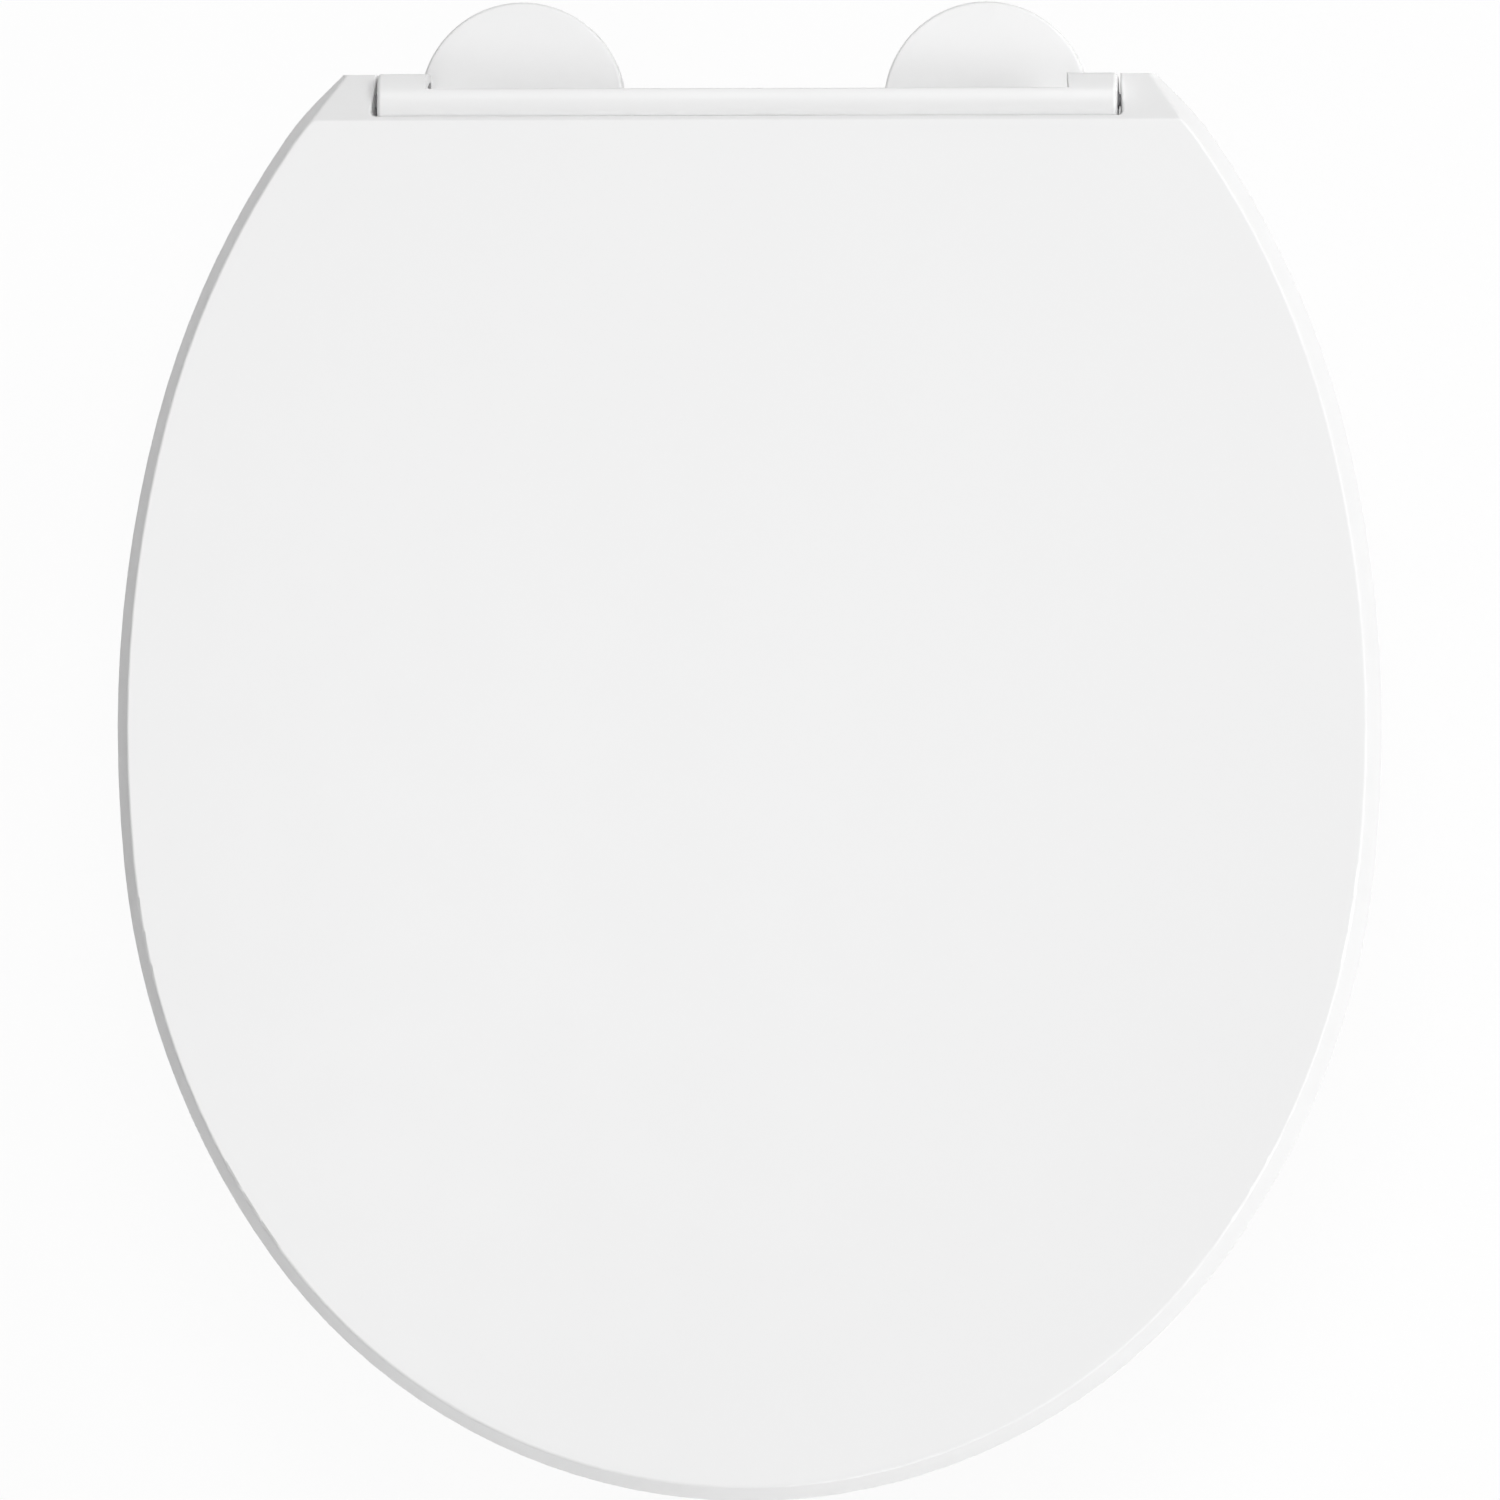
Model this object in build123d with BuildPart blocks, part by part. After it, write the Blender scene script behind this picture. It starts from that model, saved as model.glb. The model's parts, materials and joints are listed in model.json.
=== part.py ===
from build123d import *
import os
from math import cos, radians, sin, sqrt, tan

# Toilet seat in millimetres: +X right, +Y to the hinge, +Z up.
# The origin lies midway between the fixing bolts on the ceramic plane.

# Plan shape of the lid's lower edge
FRONT_Y = -409.0
FRONT_R = 172.4
FRONT_TURN = 54.1
HALF_W = 185.1
WIDEST_Y = -182.7
QUARTER_SHARE = 0.32
REAR_SHARE = 1.0
EAR_CORNER_R = 80.0
EAR_CORNER_TURN = 10.5
EAR_LINE_L = 16.0
EAR_LINE_ANGLE = 135.0

# Fixings that set where the hinge stands, measured out from the bolt
BOLT_X = 77.5
DISC_SHIFT = 9.5
STUB_SHIFT = 10.0
PEDESTAL_W = 9.8

# Hinge, whose axis runs along X
AXIS_DROP = 11.0
BARREL_R = 9.5
BARREL_WALL = 2.3
SIDE_GAP = 0.7
KNUCKLE_L = 15.1
KNUCKLE_LOW_R = 7.9
KNUCKLE_END_WALL = 3.0
KNUCKLE_IN_DRAFT = 7.0
BARREL_CUT_Y = 3.5
CHANNEL_EDGE_R = 0.6
KNUCKLE_BACK_R = 1.8
KNUCKLE_EDGE_R = 1.2
RUNNING_FIT = 0.06
KEY_FIT = 0.05
SWING_GAP = 0.5

# Lid
LID_GAP = 2.0
LID_H = 15.0
LID_PLATE_T = 3.5
LID_WALL = 3.5
LID_DRAFT = 14.0
LID_EDGE_R = 1.0
LID_RIM_CHAMFER = 0.6
LID_HOLLOW_R = 2.0
FLAT_BACK_Y = -5.8
LIP_Y = -4.6
EAR_SLOPE = 38.0
EAR_BACK_Y = 7.9
EAR_GAP = 0.6
EAR_W = 6.6
EAR_IN_DRAFT = 8.0
EAR_IN_EDGE_R = 0.8
EAR_LUG_T = 9.0
EAR_LUG_R = 7.0
EAR_LUG_LOW_T = 8.0
EAR_LUG_FRONT_Y = -13.0
EAR_BLEND_R = 1.8
CUTOUT_CORNER_R = 1.5

# Seat ring
RING_H = 18.0
RING_INSET = 1.2
RING_WALL = 4.0
RING_DRAFT = 4.0
RING_BACK_Y = -14.0
RING_BACK_CORNER_R = 12.0
RING_OUT_EDGE_R = 5.0
RING_IN_EDGE_R = 7.0
RING_LOW_CHAMFER = 0.8
FAIRING_ANGLE = 40.0
FAIRING_FOOT_R = 10.0
WEB_T = 4.0
OPENING_Y = -182.0
OPENING_BACK_R = 108.0
OPENING_SIDE_R = 230.0
OPENING_FRONT_R = 85.0
RIB_T = 2.5
RIB_LIFT = 4.0
RIB_COUNT = 12
RIB_CENTRE_Y = -205.0

# Rubber buffers, placed in from the widest side and back from the front
SEAT_BUFFER_R = 9.0
SEAT_BUFFER_H = 10.0
SEAT_BUFFER_PLUG_R = 3.1
SEAT_BUFFER_PLUG_H = 10.0
SEAT_BUFFER_FRONT_IN = 89.1
SEAT_BUFFER_FRONT_BACK = 79.0
SEAT_BUFFER_REAR_IN = 49.1
SEAT_BUFFER_REAR_Y = -105.0
LID_BUFFER_R = 6.0
LID_BUFFER_H = 3.0
LID_BUFFER_PLUG_R = 2.5
LID_BUFFER_PLUG_H = 6.0
LID_BUFFER_FRONT_IN = 99.1
LID_BUFFER_FRONT_BACK = 63.0
LID_BUFFER_REAR_IN = 41.1
LID_BUFFER_REAR_Y = -145.0
BOSS_WALL = 1.5
BUFFER_CHAMFER = 0.8
PLUG_END_GAP = 0.5

# Fixings, one set each side
BOLT_R = 4.0
BOLT_NECK = 8.0
BOLT_HEAD_R = 6.5
BOLT_HEAD_H = 2.4
BOLT_HEAD_CHAMFER = 0.8
BOLT_TIP_CHAMFER = 0.8
THREAD_LEAD = 2.0
THREAD_R = 3.6
BOLT_TIP_Z = -55.0
THREAD_FIT = 0.05
COVER_R = 30.0
COVER_WALL = 1.4
COVER_TOP_T = 1.6
COVER_LEDGE_W = 2.1
COVER_LIFT = 0.4
COVER_EDGE_R = 0.9
COVER_FIT = 0.2
GASKET_INSET = 0.4
GASKET_T = 1.5
PLATE_T = 2.5
SLOT_IN = 21.0
SLOT_OUT = 4.8
SLOT_W = 8.4
SLOT_CORNER_R = 1.0
PAN_T = 22.0
CONE_FLANGE_R = 9.0
CONE_FLANGE_T = 2.5
CONE_BASE_R = 6.8
CONE_TIP_R = 5.2
CONE_H = 7.0
WASHER_R = 9.5
WASHER_T = 1.5
NUT_HUB_R = 6.5
NUT_H = 9.0
NUT_SPAN = 34.0
NUT_WING_T = 3.5
NUT_WING_R = 6.0
NUT_WEB_H = 7.0
NUT_CHAMFER = 0.8

# Hinge pedestal on the base plate's stub, levels below the axis
STUB_Y = -3.5
STUB_R = 3.2
STUB_H = 15.7
STUB_FIT = 0.05
STUB_CHAMFER = 0.6
PEDESTAL_FRONT_Y = -10.0
PEDESTAL_BACK_Y = 3.3
PEDESTAL_WAIST_Y = 1.0
PEDESTAL_HEAD_R = 6.0
PEDESTAL_SHOULDER = 3.0
WAIST_TOP = 8.0
WAIST_LOW = 13.0
HEEL = 15.3
COLLAR_R = 3.3
GRUB_LIFT = 5.3
GRUB_R = 2.0
GRUB_SOCKET_R = 1.1
GRUB_SOCKET_DEPTH = 1.6

# Damper inside each knuckle
DAMPER_R = 5.5
DAMPER_BORE_R = 4.2
DAMPER_END_WALL = 2.7
CAP_T = 1.8
KEY_W = 4.6
KEY_L = 2.4
DRUM_R = 3.9
DRUM_GAP = 0.3
SHAFT_R = 2.5
SHAFT_FLAT = 1.9
SHAFT_GRIP = 6.5
JOURNAL_R = 1.8

# Derived levels, from the ceramic upwards
PLATE_Z = GASKET_T
PLATE_TOP_Z = PLATE_Z + PLATE_T
COVER_TOP_Z = PLATE_TOP_Z + BOLT_HEAD_H + COVER_FIT + COVER_TOP_T
GRUB_Z = COVER_TOP_Z + GRUB_LIFT
RING_LOW_Z = SEAT_BUFFER_H
RING_TOP_Z = RING_LOW_Z + RING_H
LID_RIM_Z = RING_TOP_Z + LID_GAP
LID_TOP_Z = LID_RIM_Z + LID_H
AXIS_Z = LID_TOP_Z - AXIS_DROP

# Derived places along the hinge, from the bolt outwards
DISC_X = BOLT_X - DISC_SHIFT
STUB_X = BOLT_X + STUB_SHIFT
PEDESTAL_OUT_X = STUB_X + PEDESTAL_W / 2
KNUCKLE_IN_X = PEDESTAL_OUT_X + SIDE_GAP
KNUCKLE_OUT_X = KNUCKLE_IN_X + KNUCKLE_L
DAMPER_IN_X = KNUCKLE_IN_X + SIDE_GAP
DAMPER_OUT_X = KNUCKLE_OUT_X - KNUCKLE_END_WALL - DRUM_GAP
CAP_X = DAMPER_OUT_X - CAP_T
EAR_IN_X = KNUCKLE_OUT_X + EAR_GAP
SHAFT_ROUND = EAR_GAP / 2
SHAFT_END_X = EAR_IN_X + SHAFT_GRIP
EAR_HOLE_DEPTH = SHAFT_GRIP + PLUG_END_GAP

# Derived places of the buffers
SEAT_BUFFER_PLACES = {
    "front": (HALF_W - SEAT_BUFFER_FRONT_IN, FRONT_Y + SEAT_BUFFER_FRONT_BACK),
    "rear": (HALF_W - SEAT_BUFFER_REAR_IN, SEAT_BUFFER_REAR_Y),
}
LID_BUFFER_PLACES = {
    "front": (HALF_W - LID_BUFFER_FRONT_IN, FRONT_Y + LID_BUFFER_FRONT_BACK),
    "rear": (HALF_W - LID_BUFFER_REAR_IN, LID_BUFFER_REAR_Y),
}

# Derived radii about the axis
LIP_R = BARREL_R + SWING_GAP
BARREL_IN_R = BARREL_R - BARREL_WALL

# Derived sizes of the fixings
BOLT_PLAIN_H = PAN_T - CONE_H - THREAD_LEAD
COVER_IN_R = COVER_R - COVER_WALL
COVER_LEDGE_R = COVER_IN_R - COVER_LEDGE_W
PLATE_R = COVER_IN_R - COVER_FIT
GASKET_R = PLATE_R - GASKET_INSET

SIDES = {"left": -1, "right": 1}

os.makedirs("parts", exist_ok=True)


def finish(piece, name):
    """Label a finished piece and write it."""
    piece.part.label = name
    export_step(piece.part, f"parts/{name}.step")


def cross_plane(x):
    """Plane across the hinge axis at x: local X is +Y, local Y is +Z, extrusion goes to +X."""
    return Plane((x, 0, AXIS_Z), x_dir=(0, 1, 0), z_dir=(1, 0, 0))


def biarc_join(start, start_dir, end, end_dir, share):
    """Point where two tangent arcs from start to end meet; share is the second arm over the first."""
    span = end - start
    turn = share * (1 - start_dir.dot(end_dir))
    along = span.dot(start_dir + end_dir * share)
    arm = (sqrt(along**2 + 2 * turn * span.dot(span)) - along) / (2 * turn)
    start_tip = start + start_dir * arm
    end_tip = end - end_dir * (arm * share)
    return (start_tip * share + end_tip) * (1 / (1 + share))


def double_d(radius, flat):
    """Sketch of a round shaft with two flats, on the current plane."""
    Circle(radius)
    Rectangle(2 * radius, 2 * flat, mode=Mode.INTERSECT)


# Plan of the lid's lower edge, tangent arcs from the front centre to the back of one ear
with BuildSketch() as lid_plan:
    with BuildLine():
        back_y = EAR_BACK_Y + LID_H * tan(radians(LID_DRAFT))
        ear_back = Vector(EAR_IN_X + EAR_W, back_y)
        ear_dir = Vector(cos(radians(EAR_LINE_ANGLE)), sin(radians(EAR_LINE_ANGLE)))
        ear_front = ear_back - ear_dir * EAR_LINE_L
        corner = JernArc(ear_front, -ear_dir, EAR_CORNER_R, -EAR_CORNER_TURN, mode=Mode.PRIVATE)
        widest = Vector(HALF_W, WIDEST_Y)
        front = JernArc((0, FRONT_Y), (1, 0), FRONT_R, FRONT_TURN)
        quarter_end = biarc_join(front @ 1, front % 1, widest, Vector(0, 1), QUARTER_SHARE)
        quarter = TangentArc(front @ 1, quarter_end, tangent=front % 1)
        TangentArc(quarter_end, widest, tangent=quarter % 1)
        side_end = biarc_join(widest, Vector(0, 1), corner @ 1, -(corner % 1), REAR_SHARE)
        side = TangentArc(widest, side_end, tangent=(0, 1))
        rear = TangentArc(side_end, corner @ 1, tangent=side % 1)
        TangentArc(corner @ 1, ear_front, tangent=rear % 1)
        Polyline(ear_front, ear_back, (0, back_y))
        mirror(about=Plane.YZ)
    make_face()

# Plan of the opening in the seat ring
with BuildSketch() as opening_plan:
    with BuildLine():
        side_centre_x = OPENING_BACK_R - OPENING_SIDE_R
        front_drop = sqrt((OPENING_SIDE_R - OPENING_FRONT_R) ** 2 - side_centre_x**2)
        lean = front_drop / (OPENING_SIDE_R - OPENING_FRONT_R)
        join_x = side_centre_x + OPENING_SIDE_R * sqrt(1 - lean**2)
        join_y = OPENING_Y - OPENING_SIDE_R * lean
        back_arc = JernArc((0, OPENING_Y + OPENING_BACK_R), (1, 0), OPENING_BACK_R, -90)
        side_arc = TangentArc(back_arc @ 1, (join_x, join_y), tangent=back_arc % 1)
        nose_y = OPENING_Y - front_drop - OPENING_FRONT_R
        TangentArc(side_arc @ 1, (0, nose_y), tangent=side_arc % 1)
        mirror(about=Plane.YZ)
    make_face()

# Space inside the lid, leaving the ear lugs and buffer bosses standing
with BuildPart() as lid_hollow:
    with BuildSketch(Plane.XY.offset(LID_RIM_Z)):
        add(lid_plan)
        offset(amount=-LID_WALL)
    extrude(amount=LID_H - LID_PLATE_T, taper=LID_DRAFT)
    fillet(lid_hollow.faces().sort_by(Axis.Z)[-1].edges(), LID_HOLLOW_R)
    # keep the plate's thickness under the ears' slope
    with BuildSketch(Plane.YZ):
        with BuildLine():
            bend_y = FLAT_BACK_Y - LID_PLATE_T * tan(radians(EAR_SLOPE / 2))
            Polyline(
                (bend_y, LID_TOP_Z - LID_PLATE_T),
                (bend_y + LID_H / tan(radians(EAR_SLOPE)), LID_RIM_Z - LID_PLATE_T),
                (bend_y + LID_H / tan(radians(EAR_SLOPE)), LID_TOP_Z),
                (bend_y, LID_TOP_Z),
                close=True,
            )
        make_face()
    extrude(amount=2 * HALF_W, both=True, mode=Mode.SUBTRACT)
    with BuildSketch(Plane.XY.offset(LID_RIM_Z)):
        with Locations(
            (EAR_IN_X + EAR_LUG_T / 2, EAR_LUG_FRONT_Y),
            (-EAR_IN_X - EAR_LUG_T / 2, EAR_LUG_FRONT_Y),
        ):
            Rectangle(EAR_LUG_T, 2 * LID_H, align=(Align.CENTER, Align.MIN))
    extrude(amount=LID_H, mode=Mode.SUBTRACT)
    with BuildSketch(Plane.XY.offset(RING_TOP_Z + LID_BUFFER_H)):
        with Locations(*[(s * x, y) for x, y in LID_BUFFER_PLACES.values() for s in (-1, 1)]):
            Circle(LID_BUFFER_R + BOSS_WALL)
    extrude(amount=LID_H, mode=Mode.SUBTRACT)

# Room between the lid's ears for the ring's barrel, widening above the axis
with BuildPart() as barrel_room:
    with BuildSketch(Plane((0, LIP_Y, AXIS_Z), x_dir=(1, 0, 0), z_dir=(0, -1, 0))):
        with BuildLine():
            top_x = EAR_IN_X + LID_H * tan(radians(EAR_IN_DRAFT))
            Polyline((-EAR_IN_X, 0), (EAR_IN_X, 0), (top_x, LID_H), (-top_x, LID_H), close=True)
        make_face()
    extrude(amount=-2 * LID_H)
    fillet(barrel_room.faces().sort_by(Axis.Y)[0].edges().filter_by(Axis.X, reverse=True), CUTOUT_CORNER_R)
    with BuildSketch(cross_plane(-EAR_IN_X)):
        Circle(LIP_R)
    extrude(amount=2 * EAR_IN_X)

# Lid: flat top, drafted skirt, sloped ears with the hinge holes
with BuildPart() as lid:
    with BuildSketch(Plane.XY.offset(LID_RIM_Z)):
        add(lid_plan)
    extrude(amount=LID_H, taper=LID_DRAFT)
    slope_drop = (EAR_BACK_Y - FLAT_BACK_Y) * tan(radians(EAR_SLOPE))
    with BuildSketch(Plane.YZ):
        with BuildLine():
            Polyline(
                (2 * FRONT_Y, LID_RIM_Z),
                (EAR_BACK_Y, LID_RIM_Z),
                (EAR_BACK_Y, LID_TOP_Z - slope_drop),
                (FLAT_BACK_Y, LID_TOP_Z),
                (2 * FRONT_Y, LID_TOP_Z),
                close=True,
            )
        make_face()
    extrude(amount=2 * HALF_W, both=True, mode=Mode.INTERSECT)
    slope_up = (0, sin(radians(EAR_SLOPE)), cos(radians(EAR_SLOPE)))
    slope_plane = Plane((0, FLAT_BACK_Y, LID_TOP_Z), z_dir=slope_up)
    fillet(lid.faces().filter_by(slope_plane).edges().filter_by(Axis.X, reverse=True), EAR_BLEND_R)
    fillet(lid.faces().sort_by(Axis.Z)[-1].edges(), LID_EDGE_R)
    chamfer(lid.faces().sort_by(Axis.Z)[0].edges(), LID_RIM_CHAMFER)
    add(lid_hollow.part, mode=Mode.SUBTRACT)
    # lower half of each hinge lug, round about the axis
    for s in SIDES.values():
        with BuildSketch(cross_plane(s * EAR_IN_X)):
            Circle(EAR_LUG_R)
            with Locations((0, EAR_LUG_R / 2)):
                Rectangle(2 * EAR_LUG_R, EAR_LUG_R, mode=Mode.SUBTRACT)
        extrude(amount=s * EAR_LUG_LOW_T)
    add(barrel_room.part, mode=Mode.SUBTRACT)
    slope = lid.faces().filter_by(slope_plane).sort_by(Axis((0, 0, 0), slope_up))[-1]
    near_room = slope.edges().filter_by(lambda e: abs(e.center().X) < top_x)
    fillet(near_room.sort_by(Axis.Y)[1:], EAR_IN_EDGE_R)
    # left ear turns with its shaft, right ear turns on a journal
    with BuildSketch(cross_plane(-EAR_IN_X)):
        double_d(SHAFT_R + KEY_FIT, SHAFT_FLAT + KEY_FIT)
    extrude(amount=-EAR_HOLE_DEPTH, mode=Mode.SUBTRACT)
    with BuildSketch(cross_plane(EAR_IN_X)):
        Circle(JOURNAL_R + RUNNING_FIT)
    extrude(amount=EAR_HOLE_DEPTH, mode=Mode.SUBTRACT)
    with BuildSketch(Plane.XY.offset(RING_TOP_Z + LID_BUFFER_H)):
        with Locations(*[(s * x, y) for x, y in LID_BUFFER_PLACES.values() for s in (-1, 1)]):
            Circle(LID_BUFFER_PLUG_R)
    extrude(amount=LID_BUFFER_PLUG_H + PLUG_END_GAP, mode=Mode.SUBTRACT)
finish(lid, "lid")

# Plan of the seat ring, closed by a straight back edge in front of the hinge
with BuildSketch() as ring_plan:
    add(lid_plan)
    offset(amount=-RING_INSET)
    with Locations((0, RING_BACK_Y)):
        Rectangle(4 * HALF_W, 4 * LID_H, align=(Align.CENTER, Align.MIN), mode=Mode.SUBTRACT)
    fillet(ring_plan.vertices().group_by(Axis.Y)[-1], RING_BACK_CORNER_R)

# Space under the seat ring, leaving ribs and buffer bosses standing
with BuildPart() as ring_hollow:
    with BuildSketch(Plane.XY.offset(RING_LOW_Z)):
        add(ring_plan)
        offset(amount=-RING_WALL - RING_H * tan(radians(RING_DRAFT)))
    extrude(amount=RING_H - RING_WALL)
    with BuildSketch(Plane.XY.offset(RING_LOW_Z)):
        add(opening_plan)
        offset(amount=RING_WALL)
    extrude(amount=RING_H, mode=Mode.SUBTRACT)
    with BuildSketch(Plane.XY.offset(RING_LOW_Z + RIB_LIFT)):
        with Locations((0, RIB_CENTRE_Y)):
            with PolarLocations(OPENING_BACK_R, RIB_COUNT, start_angle=180 / RIB_COUNT):
                Rectangle(2 * OPENING_BACK_R, RIB_T)
    extrude(amount=RING_H, mode=Mode.SUBTRACT)
    with BuildSketch(Plane.XY.offset(RING_LOW_Z)):
        with Locations(*[(s * x, y) for x, y in SEAT_BUFFER_PLACES.values() for s in (-1, 1)]):
            Circle(SEAT_BUFFER_R + BOSS_WALL)
    extrude(amount=RING_H, mode=Mode.SUBTRACT)

# Section of the hinge barrel, measured from the axis
fairing_top = (-BARREL_R * sin(radians(FAIRING_ANGLE)), BARREL_R * cos(radians(FAIRING_ANGLE)))
fairing_dir = Vector(-cos(radians(FAIRING_ANGLE)), -sin(radians(FAIRING_ANGLE)))
fairing_drop = fairing_top[1] + AXIS_Z - RING_TOP_Z
bend_back = FAIRING_FOOT_R * tan(radians(FAIRING_ANGLE / 2))
fairing_bend = Vector(*fairing_top) + fairing_dir * (fairing_drop / sin(radians(FAIRING_ANGLE)) - bend_back)
foot_y = fairing_bend.X - bend_back * (1 + cos(radians(FAIRING_ANGLE)))
fairing_foot = (foot_y, RING_TOP_Z - AXIS_Z)
web_foot = (RING_BACK_Y, RING_TOP_Z - WEB_T - AXIS_Z)
slope_top = (BARREL_R * sin(radians(EAR_SLOPE)), BARREL_R * cos(radians(EAR_SLOPE)))
slope_low_z = slope_top[1] - (EAR_BACK_Y - slope_top[0]) * tan(radians(EAR_SLOPE))

# Closed knuckle of the barrel, right end
with BuildPart() as knuckle:
    with BuildSketch(cross_plane(KNUCKLE_IN_X)):
        with BuildLine():
            ThreePointArc(fairing_top, (0, BARREL_R), slope_top)
            Polyline(slope_top, (EAR_BACK_Y, slope_low_z), (EAR_BACK_Y, 0))
            RadiusArc((EAR_BACK_Y, 0), (0, -KNUCKLE_LOW_R), KNUCKLE_LOW_R)
            Polyline((0, -KNUCKLE_LOW_R), web_foot, (foot_y, web_foot[1]), fairing_foot)
            TangentArc(fairing_bend, fairing_foot, tangent=fairing_dir)
            Line(fairing_bend, fairing_top)
        make_face()
    extrude(amount=KNUCKLE_OUT_X - KNUCKLE_IN_X)
    back_edges = knuckle.edges().filter_by(Axis.X).group_by(Axis.Y)[-1]
    fillet(back_edges.sort_by(Axis.Z)[-1], KNUCKLE_BACK_R)
    fillet(knuckle.faces().sort_by(Axis.X)[-1].edges(), KNUCKLE_EDGE_R)

# Seat ring: hollow rim round the opening, with the hinge barrel along its back
with BuildPart() as ring:
    with BuildSketch(Plane.XY.offset(RING_TOP_Z)):
        add(ring_plan)
    extrude(amount=-RING_H, taper=RING_DRAFT)
    fillet(ring.faces().sort_by(Axis.Z)[-1].edges(), RING_OUT_EDGE_R)
    chamfer(ring.faces().sort_by(Axis.Z)[0].edges(), RING_LOW_CHAMFER)
    with BuildSketch(Plane.XY.offset(RING_TOP_Z)):
        add(opening_plan)
    extrude(amount=-RING_H, mode=Mode.SUBTRACT)
    rim_top = ring.faces().filter_by(Axis.Z).sort_by(Axis.Z)[-1]
    fillet(rim_top.inner_wires()[0].edges(), RING_IN_EDGE_R)
    # middle of the barrel, a channel open below and behind
    with BuildSketch(cross_plane(-KNUCKLE_IN_X)):
        with BuildLine():
            outer_back = (BARREL_CUT_Y, sqrt(BARREL_R**2 - BARREL_CUT_Y**2))
            inner_back = (BARREL_CUT_Y, sqrt(BARREL_IN_R**2 - BARREL_CUT_Y**2))
            ThreePointArc(outer_back, (0, BARREL_R), fairing_top)
            Line(fairing_top, fairing_bend)
            TangentArc(fairing_bend, fairing_foot, tangent=fairing_dir)
            Polyline(fairing_foot, (foot_y, web_foot[1]), web_foot, (-BARREL_IN_R, 0))
            ThreePointArc((-BARREL_IN_R, 0), (0, BARREL_IN_R), inner_back)
            Line(inner_back, outer_back)
        make_face()
    extrude(amount=2 * KNUCKLE_IN_X)
    channel_back = ring.faces().filter_by(Axis.Y).sort_by(Axis.Y)[-1]
    fillet(channel_back.edges().sort_by(Axis.Z)[-1], CHANNEL_EDGE_R)
    add(knuckle.part)
    mirror(knuckle.part, about=Plane.YZ)
    add(ring_hollow.part, mode=Mode.SUBTRACT)
    # draft on the inner end of each knuckle, behind the middle of the barrel
    for s in SIDES.values():
        notch_end = (s * KNUCKLE_IN_X, BARREL_CUT_Y, AXIS_Z)
        with BuildSketch(Plane(notch_end, x_dir=(s, 0, 0), z_dir=(0, -s, 0))):
            with BuildLine():
                draft_x = BARREL_R * tan(radians(KNUCKLE_IN_DRAFT))
                Polyline((0, 0), (draft_x, BARREL_R), (0, BARREL_R), close=True)
            make_face()
        extrude(amount=-s * (EAR_BACK_Y - BARREL_CUT_Y), mode=Mode.SUBTRACT)
    # damper bores, with a running hole for the lid's shaft and a keyed one for the ring's
    for s in SIDES.values():
        with BuildSketch(cross_plane(s * KNUCKLE_IN_X)):
            Circle(DAMPER_R + RUNNING_FIT)
        extrude(amount=s * (KNUCKLE_OUT_X - KNUCKLE_END_WALL - KNUCKLE_IN_X), mode=Mode.SUBTRACT)
    with BuildSketch(cross_plane(-KNUCKLE_OUT_X)):
        Circle(SHAFT_R + RUNNING_FIT)
    extrude(amount=KNUCKLE_END_WALL, mode=Mode.SUBTRACT)
    with BuildSketch(cross_plane(KNUCKLE_OUT_X)):
        double_d(SHAFT_R + KEY_FIT, SHAFT_FLAT + KEY_FIT)
    extrude(amount=-KNUCKLE_END_WALL, mode=Mode.SUBTRACT)
    with BuildSketch(Plane.XY.offset(RING_LOW_Z)):
        with Locations(*[(s * x, y) for x, y in SEAT_BUFFER_PLACES.values() for s in (-1, 1)]):
            Circle(SEAT_BUFFER_PLUG_R)
    extrude(amount=SEAT_BUFFER_PLUG_H + PLUG_END_GAP, mode=Mode.SUBTRACT)
finish(ring, "seat_ring")

# Rubber buffers, pushed into their bosses
for place, (x, y) in SEAT_BUFFER_PLACES.items():
    for side, s in SIDES.items():
        with BuildPart() as buffer:
            with BuildSketch(Plane((s * x, y, 0))):
                Circle(SEAT_BUFFER_R)
            extrude(amount=RING_LOW_Z)
            chamfer(buffer.edges().group_by(Axis.Z)[0], BUFFER_CHAMFER)
            with BuildSketch(Plane((s * x, y, RING_LOW_Z))):
                Circle(SEAT_BUFFER_PLUG_R)
            extrude(amount=SEAT_BUFFER_PLUG_H)
        finish(buffer, f"seat_buffer_{place}_{side}")
for place, (x, y) in LID_BUFFER_PLACES.items():
    for side, s in SIDES.items():
        with BuildPart() as buffer:
            with BuildSketch(Plane((s * x, y, RING_TOP_Z))):
                Circle(LID_BUFFER_R)
            extrude(amount=LID_BUFFER_H)
            chamfer(buffer.edges().group_by(Axis.Z)[0], BUFFER_CHAMFER)
            with BuildSketch(Plane((s * x, y, RING_TOP_Z + LID_BUFFER_H))):
                Circle(LID_BUFFER_PLUG_R)
            extrude(amount=LID_BUFFER_PLUG_H)
        finish(buffer, f"lid_buffer_{place}_{side}")

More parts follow.
